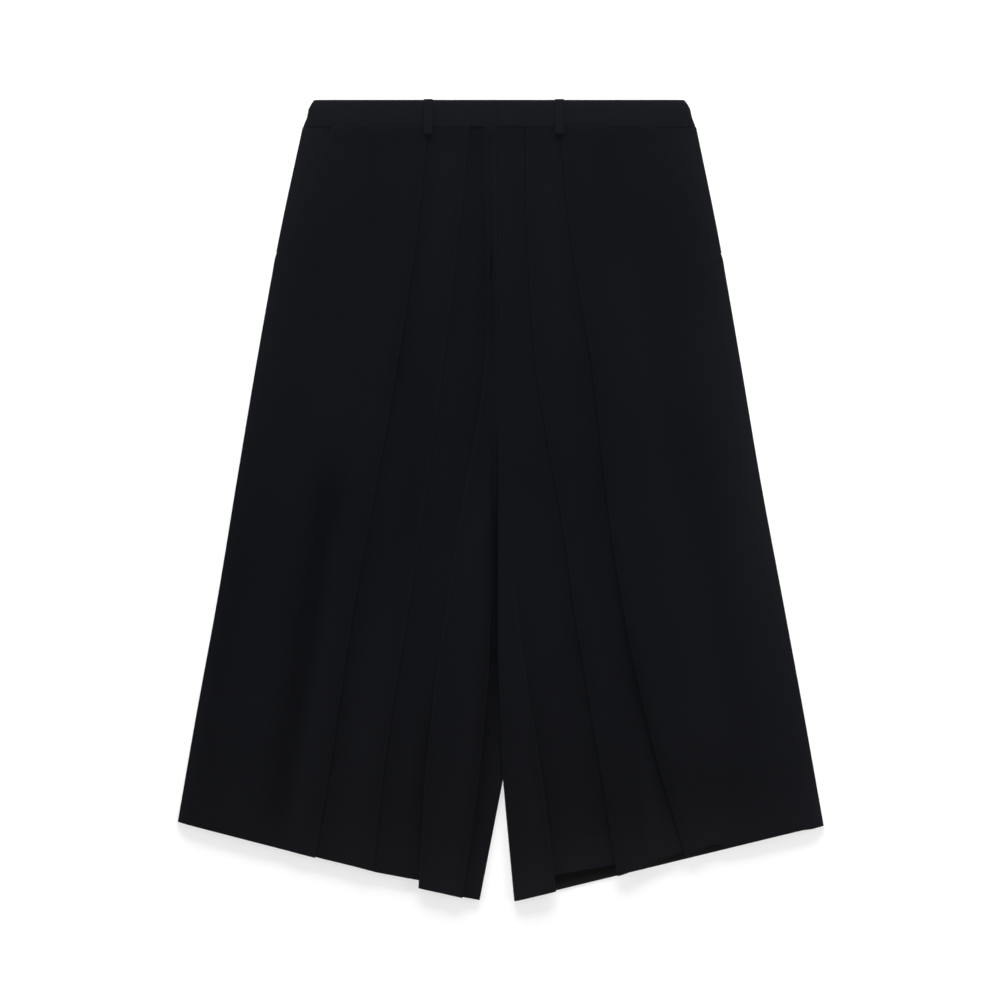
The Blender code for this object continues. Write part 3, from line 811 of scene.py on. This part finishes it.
def clothFinish(name, look):
    finish, tree, shader = newFinish(name, {
        "Specular IOR Level": look["specular"], "Sheen Weight": look["sheen"],
        "Sheen Roughness": 0.45, "Sheen Tint": (0.82, 0.9, 1.0, 1),
    })
    place = tree.nodes.new("ShaderNodeTexCoord")
    threads = tree.nodes.new("ShaderNodeGroup")
    threads.node_tree = weave
    threads.inputs["Ribs per metre"].default_value = look["ribs"]
    threads.inputs["Unevenness"].default_value = look["uneven"]
    tree.links.new(place.outputs["UV"], threads.inputs["Vector"])
    tone = tree.nodes.new("ShaderNodeGroup")
    tone.node_tree = tones
    tone.inputs["Dark"].default_value = (*look["dark"], 1)
    tone.inputs["Light"].default_value = (*look["light"], 1)
    tree.links.new(place.outputs["Object"], tone.inputs["Vector"])
    tree.links.new(threads.outputs["Thread tone"], tone.inputs["Thread tone"])
    # the painted light and shade kept on the mesh
    paintedShading = tree.nodes.new("ShaderNodeAttribute")
    paintedShading.attribute_name = "paintedShading"
    tree.links.new(paintedShading.outputs["Fac"], tone.inputs["Painted shading"])
    bump = tree.nodes.new("ShaderNodeBump")
    bump.inputs["Strength"].default_value = look["bump"]
    bump.inputs["Distance"].default_value = 0.00012
    tree.links.new(threads.outputs["Height"], bump.inputs["Height"])
    tree.links.new(bump.outputs["Normal"], shader.inputs["Normal"])
    tree.links.new(tone.outputs["Color"], shader.inputs["Base Color"])
    tree.links.new(tone.outputs["Roughness"], shader.inputs["Roughness"])
    return finish


legTwill = clothFinish("legTwill", {
    "dark": (0.0004, 0.0005, 0.0012), "light": (0.0082, 0.0088, 0.0118),
    "ribs": 1450.0, "uneven": 0.35, "bump": 0.6, "specular": 0.03, "sheen": 0.03,
})
# the wrong side of the same cloth, a little lighter and greyer
insideTwill = clothFinish("insideTwill", {
    "dark": (0.0006, 0.0007, 0.0011), "light": (0.0092, 0.0099, 0.0103),
    "ribs": 1450.0, "uneven": 0.35, "bump": 0.5, "specular": 0.03, "sheen": 0.03,
})
# the same cloth as the legs, painted lighter for the light from above the waist, for the waistband and belt
# loops
bandTwillPaintedLighter = clothFinish("bandTwillPaintedLighter", {
    "dark": (0.0018, 0.0020, 0.0028), "light": (0.0110, 0.0116, 0.0146),
    "ribs": 1450.0, "uneven": 0.3, "bump": 0.6, "specular": 0.04, "sheen": 0.035,
})
print("cloth finishes made")

frontRight = frontLeg("frontRightPanel", rightLeg, legTwill)
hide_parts("front_right_leg")
print("right front laid", len(frontRight.data.polygons))
frontLeft = frontLeg("frontLeftPanel", leftLeg, legTwill)
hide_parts("front_left_leg")
print("left front laid", len(frontLeft.data.polygons))
backRight = backLeg("backRightPanel", rightLeg, legTwill, insideTwill)
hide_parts("back_right_leg")
backLeft = backLeg("backLeftPanel", leftLeg, legTwill, insideTwill)
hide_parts("back_left_leg")
facingRight = pocketFacing("pocketFacingRight", rightLeg, legTwill)
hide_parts("pocket_facing_right")
facingLeft = pocketFacing("pocketFacingLeft", leftLeg, legTwill)
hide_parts("pocket_facing_left")
print("backs and pockets laid")

band = {
    "wall": 0.8,
    "level": 4.5,  # mid-height of the front band, over the pleats' folded tops
    "height": 27.0,
    "roll": 13.0,
    "backWall": 1.5,
    "backEdges": (391.2, 418.1),  # y of the back band's edges
    "centre": -3.2,  # x of the closure, the wearer's right over the left
    "lapRise": (0.45, 7.0),  # the band on top rises towards the closure, fading over the second value
    "edgeSink": (-0.35, 0.0, 0.5),  # and is pressed down at its very edge
    "lowerShare": (-0.4, 0.2),  # of these two, for the half that lies underneath
    "softness": 0.3,
    "softWave": (38.0, 16.0),  # length of its soft waves, along and across
    "room": (2.2, 5.2),
    "paintedShading": 0.44,
    "upperPaintedLight": 0.13,  # painted light added towards the upper edge, where the light from above the waist falls
    "seamPaintedLight": (0.28, 1.0),  # and painted light along the seam, against the shadow of the band's edge
    # how the band ends at the closure, as distance from it and drop: on top, and underneath
    "ends": {-1: ((1.2, 0.0), (0.5, 0.0), (0.0, 0.05)), 1: ((1.2, 0.15), (0.4, 0.75), (-3.4, 0.95))},
    # half width on the wearer's right and left at each of these y
    "heights": (391.1, 393.2, 400.5, 410.0, 415.5, 418.95),
    "right": (206.7, 206.3, 203.1, 201.3, 198.2, 195.6),
    "left": (204.7, 204.2, 201.2, 199.2, 196.0, 193.2),
    # y and rise where the lower edge is turned in and where the upper edge rolls over to the inside
    "lowEdge": ((391.1, -0.36), (391.6, -0.27), (392.3, -0.17), (393.2, -0.08), (394.6, 0.0)),
    "highEdge": ((415.0, -0.05), (416.4, -0.2), (417.5, -0.55), (418.3, -1.1), (418.8, -1.9), (419.0, -2.9)),
}


def bandWidth(side, y):
    return float(np.interp(y, band["heights"], band[side]))


# One half of the front band, from the side to the closure.
def frontBand(name, sign, finish):
    onTop = sign < 0
    side, share = ("right", (1.0, 1.0)) if onTop else ("left", band["lowerShare"])
    profile = (*band["lowEdge"], *((y, 0.0) for y in np.linspace(396.0, 413.5, 14)), *band["highEdge"])
    rows = []
    for y, rise in profile:
        path = rolledEdge(bandWidth(side, y), band["level"], band["roll"], band["wall"])
        centre = band["centre"] * sign + 0.06
        path += [(mix(path[-1][0], centre + 2.0, across), band["level"]) for across in steps(41)[1:]]
        path += [(centre + away, band["level"] - drop) for away, drop in band["ends"][sign]]
        row = []
        for w, z in path:
            lap = fade(max(0.0, w - centre), *band["lapRise"]) * share[0]
            edge = hill(w - centre, *band["edgeSink"]) * share[1]
            spot = Vector((w / band["softWave"][0], y / band["softWave"][1], 5.0 + sign))
            soft = noise.noise(spot) * band["softness"]
            row.append((sign * w, y, z + (rise + lap + edge + soft) * ramp(z, *band["room"])))
        rows.append(row)
    rows = splitColumns(rows)
    # painted light on the band: more towards its upper edge and along the seam
    fromSeam = rows[..., 1] - bandLowY
    paintedShading = band["paintedShading"] + band["upperPaintedLight"] * ramp(fromSeam, 0.0, band["height"])
    paintedShading += fade(fromSeam, *band["seamPaintedLight"])
    return layCloth(name, rows, band["wall"], finish, paintedShading, bevel=0.35, even=False)


def backBand(name, finish):
    inset = band["wall"] + 0.5
    rows = []
    for y in np.linspace(*band["backEdges"], 12):
        left, right = bandWidth("left", y) - inset, bandWidth("right", y) - inset
        rows.append([(mix(-right, left, share), y, band["backWall"] / 2) for share in steps(40)])
    return layCloth(name, np.array(rows), band["backWall"], finish, bevel=0.3)


loop = {
    "wall": 0.75,
    "width": 9.0,
    "right": -75.6,  # x of each loop's middle
    "left": 62.0,
    "low": 382.9,
    "bend": 0.45,  # radius of the turn at its lower end
    "turn": 5.5,  # length of the end turned in under the strap
    "bow": 0.35,
    # y and drop where it goes over the waist edge
    "edge": ((417.6, -0.5), (418.7, -0.1), (419.5, 0.7), (419.75, 1.8), (419.75, 3.0)),
}


# A strap turned in at its lower end, bowed a little over the band and sewn over the waist edge.
def beltLoop(name, middle, finish):
    top = band["level"] + band["wall"] / 2
    start, under, bend = loop["low"], top + 0.5, loop["bend"]
    low = under + 2 * bend
    path = [
        (start + loop["turn"], under - 0.1), (start + 3.0, under - 0.1),
        *arc((start + bend, under + bend), bend, (-90, -135, -180, -225, -270)),
        (start + 3.0, low), (start + loop["turn"] + 1.0, low - 0.1),
    ]
    for share in steps(12)[1:-1]:
        bow = loop["bow"] * math.sin(math.pi * share)
        path.append((mix(start + 6.5, 416.8, share), mix(low, top + 0.6, share) + bow))
    path += [(y, top - drop) for y, drop in loop["edge"]]
    across = [2 * share - 1 for share in steps(8)]
    rows = [[(middle + a * loop["width"] / 2, y, z + 0.12 * (1 - a * a)) for a in across] for y, z in path]
    return layCloth(name, np.array(rows), loop["wall"], finish, bevel=0.2, even=False)


bandRight = frontBand("waistbandFrontRight", -1, bandTwillPaintedLighter)
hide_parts("waistband_front_right")
bandLeft = frontBand("waistbandFrontLeft", 1, bandTwillPaintedLighter)
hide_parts("waistband_front_left")
bandBack = backBand("waistbandBack", bandTwillPaintedLighter)
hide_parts("waistband_back")
loopRight = beltLoop("beltLoopRight", loop["right"], bandTwillPaintedLighter)
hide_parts("belt_loop_right")
loopLeft = beltLoop("beltLoopLeft", loop["left"], bandTwillPaintedLighter)
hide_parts("belt_loop_left")
print("waistband and belt loops made")
for piece in (bandRight, bandLeft, bandBack, loopRight, loopLeft):
    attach(piece, "root")

for piece in (frontRight, frontLeft, backRight, backLeft, facingRight, facingLeft):
    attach(piece, "root")


sewing = {
    "length": 2.5,
    "pitch": 3.3,
    "thick": 0.42,
    "inside": 2.4,  # from a sewn edge to its row of stitches
    "pocketEnds": (0.006, 0.012),  # stations left free at both ends of a pocket's row
    "sunk": 0.08,
    "hemUp": 27.0,  # hem stitches lie this far above the hem
    "hemEnds": 8.0,  # and begin and end this far from its corners
    "hemLength": 0.9,
    "hemPitch": 11.0,
    "tackLength": 1.3,
    "tackPitch": 0.55,
    "tackWidth": loop["width"] - 1.6,
    "tacks": (415.0, 387.2),  # y of the two on each belt loop
}
# One row goes straight down from the waist and bends in to the centre front.
fly = {
    "straight": ((-25.5, 388.5), (-25.0, 322.0)),
    "bendMiddle": (-4.8, 322.0),
    "bendWidth": 20.2,
    "bendHeight": 66.0,
}


def sewingThread():
    finish, tree, shader = newFinish("sewingThread", {"Roughness": 0.55, "Specular IOR Level": 0.06})
    place = tree.nodes.new("ShaderNodeTexCoord")
    twist = noiseNode(tree, place.outputs["Object"], 2600.0, 1.0)
    colour = colourMix(tree, (0.0010, 0.0012, 0.0021, 1), (0.0054, 0.0059, 0.0082, 1), twist)
    tree.links.new(colour, shader.inputs["Base Color"])
    return finish


thread = sewingThread()


# Evenly spaced spots along a line, each with the line's direction there.
def spotsAlong(line, pitch):
    line = np.array(line, float)
    lengths = np.concatenate([[0], np.cumsum(np.linalg.norm(np.diff(line, axis=0), axis=1))])
    spots = []
    for at in np.arange(pitch / 2, lengths[-1], pitch):
        here, ahead = ([np.interp(at + step, lengths, line[:, axis]) for axis in (0, 1)] for step in (0, 0.2))
        spots.append((*here, math.atan2(ahead[1] - here[1], ahead[0] - here[0])))
    return spots


# One stitch is modelled, then copied to every spot and laid on the cloth found below it.
def sewRow(name, spots, below, length):
    bpy.ops.mesh.primitive_uv_sphere_add(segments=8, ring_count=6, radius=0.5)
    model = bpy.context.object
    model.scale = (length * mm, sewing["thick"] * mm, sewing["thick"] * 0.8 * mm)
    bpy.ops.object.transform_apply(location=False, rotation=False, scale=True)
    bpy.ops.object.shade_smooth()
    model.data.materials.append(thread)
    laid = []
    for x, y, turn in spots:
        found, place, normal, _ = below.ray_cast(Vector((x * mm, y * mm, 0.05)), Vector((0, 0, -1)))
        if not found or normal.z <= 0.8:
            continue
        stitch = model.copy()
        stitch.data = model.data.copy()
        bpy.context.collection.objects.link(stitch)
        stitch.rotation_mode = "QUATERNION"
        tilt = Vector((0, 0, 1)).rotation_difference(normal)
        stitch.rotation_quaternion = tilt @ Quaternion((0, 0, 1), turn)
        stitch.location = place - normal * sewing["sunk"] * mm
        laid.append(stitch)
    bpy.data.objects.remove(model, do_unlink=True)
    bpy.ops.object.select_all(action="DESELECT")
    for stitch in laid:
        stitch.select_set(True)
    bpy.context.view_layer.objects.active = laid[0]
    bpy.ops.object.join()
    bpy.ops.object.transform_apply(location=True, rotation=True, scale=True)
    row = bpy.context.object
    row.name = name
    row.data.name = name
    row.select_set(False)
    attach(row, "root")


def pocketLine(leg):
    top, low = sewing["pocketEnds"]
    lines = np.linspace(top, pocket["end"] - low, 40)
    return [onBack(leg, v, pocketEdge(leg, v) - sewing["inside"]) for v in lines]


def flyLine():
    x, y = fly["bendMiddle"]
    width, height = fly["bendWidth"], fly["bendHeight"]
    bend = [(x - width * math.cos(t), y - height * math.sin(t)) for t in np.linspace(0.05, 1.5, 24)]
    return [*fly["straight"], *bend]


def hemLine(leg):
    across = np.linspace(leg["side"][-1] - sewing["hemEnds"], leg["inner"][-1] + sewing["hemEnds"], 60)
    return [(x, y + sewing["hemUp"]) for x, y in (onBack(leg, 1.0, w) for w in across)]


# Short stitches side by side across a belt loop.
def barTack(x, y):
    half = sewing["tackWidth"] / 2
    count = max(2, round(sewing["tackWidth"] / sewing["tackPitch"]))
    return [(x - step, y, math.pi / 2) for step in np.linspace(-half, half, count)]


bpy.context.view_layer.update()
for side, leg, piece in (("Right", rightLeg, frontRight), ("Left", leftLeg, frontLeft)):
    spots = spotsAlong(pocketLine(leg), sewing["pitch"])
    sewRow("pocketStitches" + side, spots, piece, sewing["length"])
sewRow("flyStitches", spotsAlong(flyLine(), sewing["pitch"]), frontRight, sewing["length"])
for side, leg, piece in (("Right", rightLeg, frontRight), ("Left", leftLeg, frontLeft)):
    spots = spotsAlong(hemLine(leg), sewing["hemPitch"])
    sewRow("hemStitches" + side, spots, piece, sewing["hemLength"])
for side, middle, strap in (("Right", loop["right"], loopRight), ("Left", loop["left"], loopLeft)):
    spots = [spot for y in sewing["tacks"] for spot in barTack(middle, y)]
    sewRow("loopTacks" + side, spots, strap, sewing["tackLength"])
print("seams sewn")


# Plain pale floor, soft light from both sides and from above the waist, camera straight above.
studio = {
    "floor": 14.0,
    "frameWidth": 1.048,
    "camera": (-0.0004, -0.0005, 2.6),
    "clothHeight": 0.005,  # height at which the frame has that width
    "lights": (
        ("leftSoftbox", (-2.2, 0.05, 0.9), (2.4, 0.8), 15.0),
        ("rightSoftbox", (2.2, 0.1, 0.95), (2.4, 0.8), 19.0),
        ("topSoftbox", (0.0, 3.0, 0.95), (3.0, 0.9), 120.0),
    ),
    "overhead": 2.15,  # one broad, even light straight above
    "overheadSpread": 16.0,
    "sky": 0.02,
    "backdrop": 0.62,
}

bpy.ops.mesh.primitive_plane_add(size=studio["floor"], location=(0, 0, -0.0002))
floor = bpy.context.object
floor.name = "floor"
paper = {"Base Color": (0.93, 0.93, 0.93, 1), "Roughness": 0.95, "Specular IOR Level": 0.0}
floor.data.materials.append(newFinish("paperFloor", paper)[0])

# The camera sees a pale backdrop, and the cloth is lit by a dim sky.
world = bpy.data.worlds.new("studio")
bpy.context.scene.world = world
world.use_nodes = True
tree = world.node_tree
sky = tree.nodes["Background"]
sky.inputs["Strength"].default_value = studio["sky"]
backdrop = tree.nodes.new("ShaderNodeBackground")
backdrop.inputs["Strength"].default_value = studio["backdrop"]
for shade in (sky, backdrop):
    shade.inputs["Color"].default_value = (1, 1, 1, 1)
seen = tree.nodes.new("ShaderNodeLightPath")
both = tree.nodes.new("ShaderNodeMixShader")
tree.links.new(seen.outputs["Is Camera Ray"], both.inputs[0])
tree.links.new(sky.outputs[0], both.inputs[1])
tree.links.new(backdrop.outputs[0], both.inputs[2])
tree.links.new(both.outputs[0], tree.nodes["World Output"].inputs["Surface"])

bpy.ops.object.light_add(type="SUN", location=(0, 0, 3))
overhead = bpy.context.object
overhead.name = "overheadLight"
overhead.data.energy = studio["overhead"]
overhead.data.angle = math.radians(studio["overheadSpread"])
for label, place, size, power in studio["lights"]:
    bpy.ops.object.light_add(type="AREA", location=place)
    lamp = bpy.context.object
    lamp.name = label
    lamp.data.shape = "RECTANGLE"
    lamp.data.size, lamp.data.size_y = size
    lamp.data.energy = power
    lamp.rotation_euler = (-Vector(place)).to_track_quat("-Z", "Y").to_euler()

bpy.ops.object.camera_add(location=studio["camera"], rotation=(0, 0, 0))
camera = bpy.context.object
camera.data.sensor_width = 36.0
distance = studio["camera"][2] - studio["clothHeight"]
camera.data.lens = camera.data.sensor_width * distance / studio["frameWidth"]
bpy.context.scene.camera = camera
bpy.context.scene.view_settings.view_transform = "Standard"
bpy.context.scene.view_settings.look = "None"
print("studio set")
